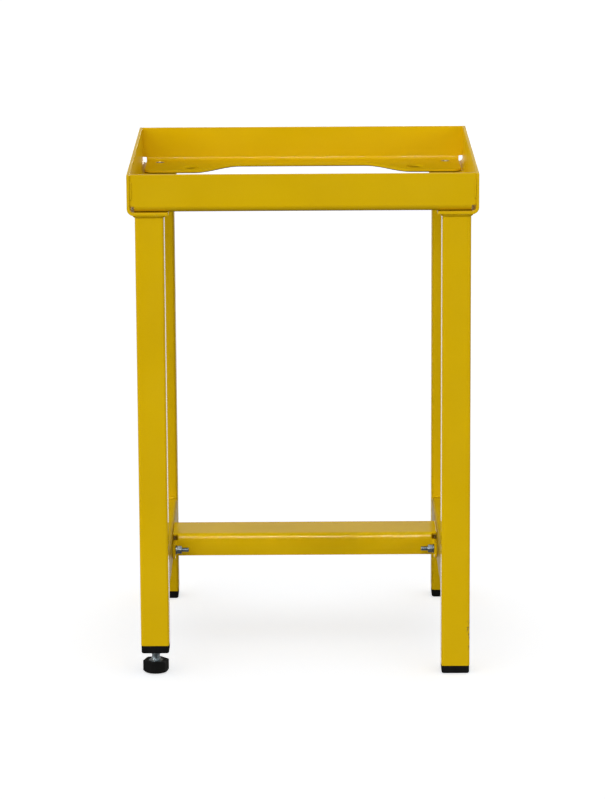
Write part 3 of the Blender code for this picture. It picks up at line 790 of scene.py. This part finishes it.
def tray_rail(end_name, end):
    """Tray rail: a plate with one fold whose flange is widest over the legs.

    The flange's edge steps from wide to narrow by half a cosine wave. A notch frees each lower corner."""
    node = f"{end_name}_rail"
    low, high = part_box(node)
    face = high.y if end > 0 else -low.y
    inner = low.y if end > 0 else -high.y
    straight = high.z - low.z - BEND_RADIUS
    on_flange = straight + BEND_RADIUS * np.pi / 2 - BEND_RADIUS
    wide = on_flange + face - inner
    narrow = on_flange + RAIL_FLANGE_MIDDLE
    relief = high.z - low.z - RELIEF_ABOVE_BOTTOM
    share = np.linspace(0.0, 1.0, SHOULDER_STEPS)[1:-1]
    step_x = SHOULDER_OUTER + (SHOULDER_INNER - SHOULDER_OUTER) * share
    step = np.stack([step_x, wide + (narrow - wide) * (1 - np.cos(np.pi * share)) / 2], 1)
    end_x = high.x + RAIL_END_REACH[end_name]
    half = [(end_x, 0), (end_x, relief), (RAIL_FLANGE_SIDE, relief), (RAIL_FLANGE_SIDE, wide),
            (SHOULDER_OUTER, wide), *step, (SHOULDER_INNER, narrow)]
    radii = [CORNER_ROUND, CORNER_ROUND, CORNER_ROUND, RAIL_CORNER_RADIUS] + [0.0] * (len(half) - 4)
    outline = filleted(mirrored(half), radii + radii[::-1], steps=6)
    holes = []
    for side_name, side in SIDES.items():
        leg_x, leg_y, _ = floor_point(f"{end_name}_{side_name}_leg")
        holes.append(hole_loop(LARGE_HOLE, (side * LARGE_HOLE_X, on_flange + LARGE_HOLE_FROM_FACE)))
        holes.append(hole_loop(INSERT_RECESS, (leg_x, on_flange + face - abs(leg_y))))
    points, faces = plate(outline, holes, fold_rows(straight, BEND_RADIUS))
    inward, down = folded(points, straight, BEND_RADIUS)
    placed = np.stack([points[:, 0], end * (face - inward), high.z - down], 1)
    # The coat paints shade along the flange's lower edge
    make_piece(node, "plate", (placed, faces), YELLOW_LAP_SHADE)


def lower_crossbar():
    """Crossbar: a channel of two folds, and a tab turned forward at each end, below a slot in the front fold.

    The channel's rear half is the mirror image of its front half."""
    node = "lower_crossbar"
    low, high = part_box(node)
    front = low.y + BAR_TAB_LENGTH
    end = high.x
    depth = high.y - front
    straight = high.z - low.z - BAR_BEND_RADIUS
    fold = BAR_BEND_RADIUS * np.pi / 2
    slot_top = straight + fold * BAR_SLOT_SHARE
    rear = 2 * (straight + fold - BAR_BEND_RADIUS) + depth
    tab_top = straight - BAR_TAB_RELIEF
    fold_x = end - PLATE - BAR_TAB_FOLD
    middle_radius = BAR_TAB_FOLD + PLATE / 2
    bend = middle_radius * np.pi / 2
    tab_end = fold_x + bend + BAR_TAB_LENGTH - BAR_TAB_FOLD
    half = [(tab_end, 0), (tab_end, tab_top), (fold_x, tab_top), (fold_x, slot_top), (end, slot_top)]
    half.append((end, rear))
    radii = [BAR_TAB_CORNER] + [CORNER_ROUND] * (len(half) - 1)
    outline = filleted(mirrored(half), radii + radii[::-1], steps=6)
    bolt = box_centre("right_crossbar_nut")
    hole_x = fold_x + bend + front - BAR_TAB_FOLD - bolt.y
    holes = [hole_loop(BOLT_HOLE, (side * hole_x, bolt.z - low.z)) for side in SIDES.values()]
    tab_rows = fold_x + bend * np.linspace(TAB_FOLD_MARGIN, 1.0, TAB_FOLD_STEPS)
    rows = fold_rows(straight, BAR_BEND_RADIUS)
    rows = np.concatenate([rows, rear - rows])
    points, faces = plate(outline, holes, rows, np.concatenate([tab_rows, -tab_rows]))
    along, across, thick = points.T
    behind = across > rear / 2
    front_half = np.column_stack([along, np.where(behind, rear - across, across), thick])
    inward, up = folded(front_half, straight, BAR_BEND_RADIUS)
    inward = np.where(behind, depth - inward, inward)
    channel = np.stack([along, front + inward, low.z + up], 1)
    past = np.abs(along) - fold_x
    turn = np.clip(past / middle_radius, 0.0, np.pi / 2)
    radius = BAR_TAB_FOLD + thick
    tab_x = np.sign(along) * (fold_x + radius * np.sin(turn))
    tab_y = front - BAR_TAB_FOLD + radius * np.cos(turn) - np.maximum(past - bend, 0.0)
    tab = np.stack([tab_x, tab_y, low.z + across], 1)
    on_tab = (past > 0) & (across < (tab_top + slot_top) / 2)
    placed = np.where(on_tab[:, None], tab, channel)
    make_piece(node, "plate", (placed, faces), YELLOW)


def square_tube(node, axis, finish):
    """Square tube along an axis: the wall's closed section, round at both ends, carried round a square."""
    low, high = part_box(node)
    start, stop = low[axis], high[axis]
    section = filleted([(0, start), (0, stop), (TUBE_WALL, stop), (TUBE_WALL, start)], TUBE_END_ROUND)
    half = (high.x - low.x) / 2
    grid = square_rows(half - section[:, 0], TUBE_CORNER - section[:, 0], section[:, 1])
    place = (low + high) / 2
    place[axis] = 0.0
    surface = skin(np.insert(grid[..., :2], axis, grid[..., 2], -1), joined=True)
    make_piece(node, "tube", surface, finish, place)


def bead_rows(path, size, leg_a, leg_b, steps):
    """Rows along a path from its corner and then over a hollow quarter round between two legs."""
    angle = np.linspace(0.0, np.pi / 2, steps)[:, None, None]
    section = np.cos(angle) ** BEAD_HOLLOW * leg_a + np.sin(angle) ** BEAD_HOLLOW * leg_b
    section = np.concatenate([np.zeros_like(section[:1]), section])
    return path + size[:, None] * section


def bead(start, stop, leg_a, leg_b, phase):
    """Weld bead along a line, in a corner.

    Its size is a ripple times a slow wander, held below its fullest and rounded off at both ends."""
    length = np.linalg.norm(stop - start)
    share = np.linspace(0.0, 1.0, int(length / RIPPLE_LENGTH * RIPPLE_STEPS))
    ripple = 1 + RIPPLE_HEIGHT * np.sin(2 * np.pi * share * length / RIPPLE_LENGTH + phase)
    wander = 1 + WANDER_HEIGHT * np.sin(2 * np.pi * share * WANDER_TURNS + WANDER_PHASE * phase)
    near_end = np.clip(1 - np.minimum(share, 1 - share) * length / BEAD_END, 0, 1)
    taper = np.sqrt(np.clip(1 - near_end ** 2, BEAD_LEAST, 1))
    size = np.minimum(ripple * wander, BEAD_FULLEST) / BEAD_FULLEST * taper
    line = start + share[:, None] * (stop - start)
    return skin(bead_rows(line, size, leg_a, leg_b, BEAD_STEPS).transpose(1, 0, 2), capped=True)


def ring_bead(half, corner, top, leg, phase):
    """Weld bead with ripples, round a square tube under a plate."""
    to_corner, outward = square_ring()
    ring = (half - corner) * math.sqrt(2) * to_corner + corner * outward
    closed = np.concatenate([ring, ring[:1]])
    directions = np.concatenate([outward, outward[:1]])
    place = np.concatenate([[0.0], np.cumsum(np.linalg.norm(np.diff(closed, axis=0), axis=1))])
    even = np.linspace(0.0, place[-1], int(place[-1] / RIPPLE_LENGTH * RING_RIPPLE_STEPS), endpoint=False)
    path = [np.interp(even, place, closed[:, axis]) for axis in (0, 1)] + [np.full_like(even, top)]
    away = [np.interp(even, place, directions[:, axis]) for axis in (0, 1)] + [np.zeros_like(even)]
    away = unit(np.stack(away, 1))
    ripple = np.sin(2 * np.pi * round(place[-1] / RIPPLE_LENGTH) * even / place[-1] + phase)
    size = (1 + RIPPLE_HEIGHT * ripple) / (1 + RIPPLE_HEIGHT)
    down = np.array([0.0, 0.0, -leg])
    return skin(bead_rows(np.stack(path, 1), size, down, away * leg, RING_BEAD_STEPS), joined=True)


def leg_cap(node, bored):
    """Plug under a leg, row by row: round edge, head, shoulder, plug, hollow inside and floor.

    Where it is bored for the bush, the square rows run on into circles."""
    low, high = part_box(node)
    bottom, top, half = low.z, high.z, (high.x - low.x) / 2
    shoulder, plug, inside = bottom + CAP_HEAD, CAP_PLUG_INSET, CAP_PLUG_INSET + CAP_WALL
    section = filleted(
        [(CAP_UNDERSIDE, bottom), (0.0, bottom), (0.0, shoulder), (plug, shoulder), (plug, top),
         (inside, top), (inside, bottom + CAP_FLOOR)],
        CAP_EDGES, steps=6, closed=False)
    corner = np.maximum(TUBE_CORNER - section[:, 0], CAP_LEAST_CORNER)
    grid = square_rows(half - section[:, 0], corner, section[:, 1])
    if bored:
        to_corner, outward = square_ring()
        hole = unit(outward + CAP_HOLE_LEAN * to_corner) * (BUSH_OUTER / 2 + FIT_GAP)
        rows = [np.column_stack([hole, np.full(len(hole), level)]) for level in (bottom + CAP_FLOOR, bottom)]
        grid = np.concatenate([grid, np.stack(rows)])
    surface = skin(grid, joined=bored, capped=not bored)
    make_piece(node, "moulding", surface, PLASTIC, floor_point(node))


def flat_ring(bore, rim, low, high):
    """Ring turned from a rectangle with round edges, as a washer or a bush is."""
    rows = filleted([(bore, low), (rim, low), (rim, high), (bore, high)], RING_EDGE)
    return skin(round_rows(even_columns(SHAFT_STEPS), rows), joined=True)


def foot_stud(place, collar_low, collar_high):
    """Stud of the foot: tail, collar and neck, then a thread up to a small flat tip."""
    low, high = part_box("foot_stud")
    tail, collar, shank = STUD_TAIL / 2, COLLAR / 2, STUD / 2
    plain = filleted(
        [(tail, low.z), (tail, collar_low), (collar, collar_low), (collar, collar_high), (shank, collar_high),
         (shank, collar_high + STUD_NECK)],
        STUD_EDGES, steps=3, closed=False)
    thread_low = collar_high + STUD_THREAD_START
    thread, share = thread_rows(shank, thread_low, high.z - STUD_TIP, STUD_PITCH, STUD_THREAD_FADE)
    rows = np.concatenate([plain, thread, [[STUD * TIP_SHARE, high.z]]])
    share = np.concatenate([np.zeros(len(plain)), share, [0.0]])
    grid = threaded(rows, even_columns(SHAFT_STEPS), STUD_PITCH, STUD_THREAD_DEPTH, share)
    make_piece("foot_stud", "screw", skin(grid, capped=True), ZINC, place)


def foot_knob(place, collar_low, tail_low, sole_high):
    """Six-sided knob: hexagon rows, a cone that trims the lower corners, a round recess inside.

    A lower point rises by the cone's slope times its distance beyond the round footprint."""
    low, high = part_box("foot_knob")
    bottom, top = low.z, high.z
    turn = math.radians(KNOB_TURN)
    angle = hexagon_columns(turn)
    reach = hexagon_reach(angle, KNOB_ACROSS / 2, turn)
    footprint = KNOB_FOOTPRINT / 2
    lower = bottom + KNOB_FOOT_RISE + KNOB_CHAMFER_SLOPE * np.maximum(reach - footprint, 0.0)
    sole, collar, tail = (across / 2 + FIT_GAP for across in (SOLE, COLLAR, STUD_TAIL))
    rows = [(sole, sole_high + FIT_GAP), (sole, bottom), (footprint - KNOB_FOOT_EDGE, bottom), (reach, lower),
            (reach, np.maximum(bottom + KNOB_SKIRT, lower + KNOB_SKIRT_LEAST))]
    for arc in np.linspace(0.0, np.pi / 2, KNOB_STEPS):
        apothem = KNOB_ACROSS / 2 - KNOB_TOP_ROUND * (1 - math.cos(arc))
        rows.append((hexagon_reach(angle, apothem, turn), top - KNOB_TOP_ROUND * (1 - math.sin(arc))))
    step = collar_low - FIT_GAP
    rows += [(collar + KNOB_RECESS_EDGE, top), (collar, top - KNOB_RECESS_EDGE), (collar, step), (tail, step),
             (tail, tail_low - FIT_GAP)]
    surface = skin(round_rows(angle, rows), capped=True)
    make_piece("foot_knob", "moulding", surface, PLASTIC, place)


def levelling_foot():
    """Levelling foot: threaded stud with a collar, six-sided knob moulded round it, sole and bush."""
    place = floor_point("foot_stud")
    collar_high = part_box("foot_knob")[1].z
    collar_low = collar_high - COLLAR_HEIGHT
    low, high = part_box("foot_sole")
    foot_stud(place, collar_low, collar_high)
    foot_knob(place, collar_low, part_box("foot_stud")[0].z, high.z)
    rim = SOLE / 2
    rows = [(SOLE_MIDDLE, low.z), (rim, low.z), (rim, high.z), (SOLE_MIDDLE, high.z)]
    grid = round_rows(even_columns(SOLE_STEPS), filleted(rows, SOLE_EDGES, closed=False))
    make_piece("foot_sole", "pad", skin(grid, capped=True), RUBBER, place)
    low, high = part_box("foot_bush")
    surface = flat_ring(STUD / 2 + FIT_GAP, BUSH_OUTER / 2, low.z, high.z)
    make_piece("foot_bush", "ring", surface, ZINC, place)


def bolt_surface(angle, reach, trim, start, seat, stop):
    """Bolt from its head on: trimmed hexagon, plain shank, threaded end and a small flat tip."""
    shank = BOLT / 2
    thread_low = stop - BOLT_THREAD_LENGTH
    thread, share = thread_rows(shank, thread_low, stop - BOLT_TIP, THREAD_PITCH, BOLT_TIP)
    head = [(HEX_FACE * HEX_FACE_MIDDLE, start), (HEX_FACE, start), (reach, start + trim), (reach, seat),
            (HEX_FACE, seat), (shank, seat), (shank, thread_low - THREAD_LEAD)]
    return skin(np.concatenate([
        round_rows(angle, head),
        threaded(thread, angle, THREAD_PITCH, BOLT_THREAD_DEPTH, share),
        round_rows(angle, [(BOLT * TIP_SHARE, stop)]),
    ]), capped=True)


def nut_surface(angle, reach, trim, low, high):
    """Nut: a hexagon trimmed at both faces, with a bore whose mouths are chamfered."""
    bore = BOLT / 2 + FIT_GAP
    mouth = bore + BORE_CHAMFER
    return skin(round_rows(angle, [
        (bore, low + BORE_CHAMFER), (mouth, low), (HEX_FACE, low), (reach, low + trim),
        (reach, high - trim), (HEX_FACE, high), (mouth, high), (bore, high - BORE_CHAMFER),
    ]), joined=True)


def crossbar_fasteners(side_name, side):
    """Hexagon bolt with a threaded end, nut and two washers, from the outside of a lower rail inwards.

    A cone trims the hexagons' corners: they stand back by its slope times their reach beyond the round face.
    Each is made along +Z and then laid along X, towards the middle of the stand."""
    bolt = f"{side_name}_crossbar_bolt"
    nut = f"{side_name}_crossbar_nut"
    centre = box_centre(bolt)
    turn = side * math.radians(HEX_TURN)
    angle = hexagon_columns(turn)
    reach = hexagon_reach(angle, HEX_ACROSS / 2, turn)
    trim = np.maximum(reach - HEX_FACE, 0.0) * HEX_CHAMFER_SLOPE

    def span(node):
        low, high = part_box(node)
        return (-high.x, -low.x) if side > 0 else (low.x, high.x)

    def lay(node, suffix, surface):
        points, faces = surface
        laid = np.stack([-side * points[:, 2], -side * points[:, 0], points[:, 1]], 1)
        make_piece(node, suffix, (laid, faces), ZINC, (0.0, centre.y, centre.z))

    start, stop = span(bolt)
    seat = span(f"{side_name}_outer_washer")[0] - FIT_GAP
    lay(bolt, "screw", bolt_surface(angle, reach, trim, start, seat, stop))
    lay(nut, "hexagon", nut_surface(angle, reach, trim, *span(nut)))
    for label in ("inner", "outer"):
        washer = f"{side_name}_{label}_washer"
        low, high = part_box(washer)
        lay(washer, "ring", flat_ring(BOLT / 2 + FIT_GAP, (high.z - low.z) / 2, *span(washer)))


def tray_insert(node):
    """Threaded insert: a thin sunk flange over a barrel, a lip level with the tray floor, a thread inside."""
    low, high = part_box(node)
    top = high.z
    sunk = top - INSERT_LIP_HEIGHT
    under = top - INSERT_FLANGE
    bore, barrel, lip, flange = INSERT_BORE / 2, INSERT_BARREL / 2, INSERT_LIP / 2, (high.x - low.x) / 2
    thread_top = top - INSERT_THREAD_BELOW_TOP
    thread, share = thread_rows(bore, low.z + THREAD_LEAD, thread_top, THREAD_PITCH, INSERT_THREAD_FADE)
    outside = filleted(
        [(bore, top - FIT_GAP), (bore + FIT_GAP, top), (lip, top - INSERT_LIP_FALL),
         (lip + INSERT_LIP_HEIGHT, sunk), (flange, sunk), (flange, under), (barrel, under), (barrel, low.z),
         (bore, low.z)],
        INSERT_EDGES, closed=False)
    rows = np.concatenate([thread, outside])
    share = np.concatenate([-share, np.zeros(len(outside))])
    grid = threaded(rows, even_columns(HOLE_STEPS), THREAD_PITCH, INSERT_THREAD_DEPTH, share)
    make_piece(node, "thread", skin(grid, joined=True), ZINC_DULL, floor_point(node))


def straight_weld(node, axis, towards, phase):
    """Bead along one axis, in the corner of two faces; its legs run from the corner towards the open."""
    low, high = np.array(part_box(node), float)
    start = np.where(np.array(towards) > 0, low, high)
    stop = start.copy()
    start[axis], stop[axis] = low[axis], high[axis]
    legs = np.delete(np.diag(towards * (high - low)), axis, 0)
    make_piece(node, "bead", bead(start, stop, *legs, phase), YELLOW)


def leg_weld(node):
    """Bead round the top of a leg."""
    low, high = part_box(node)
    place = floor_point(node)
    leg = high.z - low.z
    half = (high.x - low.x) / 2 - leg
    surface = ring_bead(half, TUBE_CORNER + FIT_GAP, high.z, leg, place[0] * RING_PHASE)
    make_piece(node, "bead", surface, YELLOW, place)


for side_name, side in SIDES.items():
    side_angle(side_name, side)
    square_tube(f"{side_name}_lower_rail", 1, YELLOW_SATIN)
    crossbar_fasteners(side_name, side)
for end_name, end in ENDS.items():
    tray_rail(end_name, end)
    for side_name, side in SIDES.items():
        corner = f"{end_name}_{side_name}"
        square_tube(f"{corner}_leg", 2, LEG_FINISH[corner])
        tray_insert(f"{corner}_tray_insert")
        straight_weld(f"{corner}_corner_weld", 2, (-side, end, 0), side + 2 * end)
        leg_weld(f"{corner}_leg_weld")
        straight_weld(f"{corner}_upper_rail_weld", 0, (0, -end, 1), end + 3)
        straight_weld(f"{corner}_lower_rail_weld", 0, (0, -end, -1), end - 3)
        if corner == "front_left":
            leg_cap(f"{corner}_threaded_cap", bored=True)
        else:
            leg_cap(f"{corner}_end_cap", bored=False)
lower_crossbar()
levelling_foot()


def shown_ray(tree):
    """1 where the eye, a reflection or glass looks at a surface, and 0 where only light is gathered."""
    seen = tree.nodes.new("ShaderNodeLightPath").outputs
    through = math_node(tree, "MAXIMUM", seen["Is Glossy Ray"], seen["Is Transmission Ray"])
    return math_node(tree, "MAXIMUM", seen["Is Camera Ray"], through)


def studio_floor():
    """Plain pale floor, lifted to white where it is seen, that still takes the stand's shadow."""
    mesh = bpy.data.meshes.new("floor")
    corners = np.array([(-1, -1, 0), (1, -1, 0), (1, 1, 0), (-1, 1, 0)]) * FLOOR_REACH
    mesh.from_pydata(corners.tolist(), [], [(0, 1, 2, 3)])
    material = bpy.data.materials.new("pale_floor")
    material.use_nodes = True
    tree = material.node_tree
    tree.nodes.clear()
    shown = shown_ray(tree)
    matt = add_node(tree, "BsdfDiffuse", blend(tree, shown, FLOOR_LIT, FLOOR_SEEN))
    lift = add_node(tree, "Emission", Strength=math_node(tree, "MULTIPLY", shown, FLOOR_LIFT))
    both = add_node(tree, "AddShader", matt.outputs[0], lift.outputs[0])
    add_node(tree, "OutputMaterial", Surface=both.outputs[0])
    mesh.materials.append(material)
    floor = put("floor", mesh)
    return floor


def studio_world():
    """Soft light from all round, stronger from the front and above, and white where it is seen.

    The strength in a direction is an even share plus the cosine to the light's middle, where above nought."""
    world = bpy.data.worlds.new("studio")
    bpy.context.scene.world = world
    world.use_nodes = True
    tree = world.node_tree
    tree.nodes.clear()
    looking = tree.nodes.new("ShaderNodeTexCoord").outputs["Generated"]
    cosine = vector_node(tree, "DOT_PRODUCT", looking, LIGHT_MIDDLE)["Value"]
    front = math_node(tree, "MULTIPLY", math_node(tree, "MAXIMUM", cosine, 0.0), LIGHT_FRONT)
    strength = carried(tree, shown_ray(tree), 0.0, 1.0, math_node(tree, "ADD", front, LIGHT_EVEN), 1.0)
    light = add_node(tree, "Background", (1.0, 1.0, 1.0, 1.0), strength)
    add_node(tree, "OutputWorld", Surface=light.outputs[0])


def hang(lamp, place, turn, pieces):
    """Put a lamp at its place and let it light only the pieces given; returns its holder."""
    holder = put(lamp.name, lamp)
    holder.location = place
    holder.rotation_euler = turn.to_euler()
    holder.light_linking.receiver_collection = bpy.data.collections.new(lamp.name)
    for piece in pieces:
        holder.light_linking.receiver_collection.objects.link(piece)
    return holder


def far_lamp(name, bearing, rise, strength, pieces, spread=LAMP_SPREAD):
    """Broad lamp far off, by its bearing from the front and its rise, for the pieces given."""
    lamp = bpy.data.lights.new(name, "SUN")
    lamp.angle = math.radians(spread)
    lamp.energy = strength
    bearing, rise = math.radians(bearing), math.radians(rise)
    level = math.cos(rise)
    towards = Vector((math.sin(bearing) * level, -math.cos(bearing) * level, math.sin(rise)))
    hang(lamp, towards * LAMP_DISTANCE, towards.to_track_quat("Z", "Y"), pieces)


def highlight_box(name, place, size, power, pieces):
    """Soft box that draws highlights on the folds and rims of the pieces given, and adds no other light."""
    lamp = bpy.data.lights.new(name, "AREA")
    lamp.shape = "RECTANGLE"
    lamp.size, lamp.size_y = size
    lamp.energy = power
    towards = Vector(STAND_MIDDLE) - Vector(place)
    hang(lamp, place, towards.to_track_quat("-Z", "Y"), pieces).visible_diffuse = False


def photo_camera():
    """Camera at the photograph's angle; its frame is 605 by 800."""
    data = bpy.data.cameras.new("camera")
    data.sensor_width = 36.0
    data.lens = 167.41
    data.shift_y = -0.02604
    data.clip_end = 200.0
    camera = put("camera", data)
    camera.location = (0.0001, -5.2739, 1.5255)
    aim = Euler((math.radians(90 - CAMERA_DIP), 0.0, math.radians(CAMERA_TURN))).to_matrix()
    roll = Euler((0.0, 0.0, math.radians(CAMERA_ROLL))).to_matrix()
    camera.rotation_euler = (aim @ roll).to_euler()
    bpy.context.scene.camera = camera


pieces = [piece for piece in bpy.data.objects if piece.active_material]
metal = [piece for piece in pieces if piece.active_material in (ZINC, ZINC_DULL)]
coated = [piece for piece in pieces if piece not in metal]


def pieces_of(*nodes):
    """The pieces of the nodes given."""
    return [piece for piece in pieces if piece.name.startswith(nodes)]


def without(*nodes):
    """All pieces apart from those of the nodes given, which a lamp leaves in the shade."""
    return [piece for piece in pieces if not piece.name.startswith(nodes)]


# Each lamp's name, bearing, rise, strength and pieces; lamps stay off the far lower rail's inner face
lower_rails = pieces_of("left_lower_rail", "right_lower_rail")
from_left = without("right_lower_rail")
from_right = without("left_lower_rail")
LAMPS = (
    ("front_lamp", -6.0, 45.0, 0.75, pieces),
    ("low_front_lamp", -6.0, 10.0, 0.29, pieces),
    ("left_lamp", -37.0, 30.0, 0.47, from_left),
    ("low_left_lamp", -58.0, 13.0, 0.71, from_left),
    ("low_right_lamp", 45.0, 10.0, 0.65, from_right),
    ("left_side_lamp", -90.0, 24.0, 0.62, without("right_lower_rail", "rear_right_leg")),
    ("right_side_lamp", 90.0, 24.0, 0.62, without("left_lower_rail", "rear_left_leg")),
    ("lower_rail_lamp", 0.0, 80.0, 0.90, lower_rails),
    ("rear_left_lamp", -150.0, 5.0, 0.98, from_left),
    ("rear_right_lamp", 160.0, 5.0, 0.98, from_right),
)

# Each highlight's name, place, size, power and pieces
HIGHLIGHTS = (
    ("front_highlight", FRONT_BOX, (2.6, 0.2), 1000.0, coated),
    ("crossbar_highlight", FRONT_BOX, (2.6, 0.2), 1900.0, pieces_of("lower_crossbar")),
    ("metal_highlight", FRONT_BOX, (4.0, 0.9), 1200.0, metal),
    ("metal_left", (-3.2, -2.0, 1.0), (0.7, 2.0), 520.0, metal),
    ("metal_right", (3.2, -2.0, 1.0), (0.7, 2.0), 380.0, metal),
)

floor = studio_floor()
studio_world()
far_lamp("floor_lamp", 180.0, 77.0, 1.10, [floor], FLOOR_LAMP_SPREAD)
for lamp in LAMPS:
    far_lamp(*lamp)
for highlight in HIGHLIGHTS:
    highlight_box(*highlight)
photo_camera()
bpy.context.scene.view_settings.view_transform = "Standard"
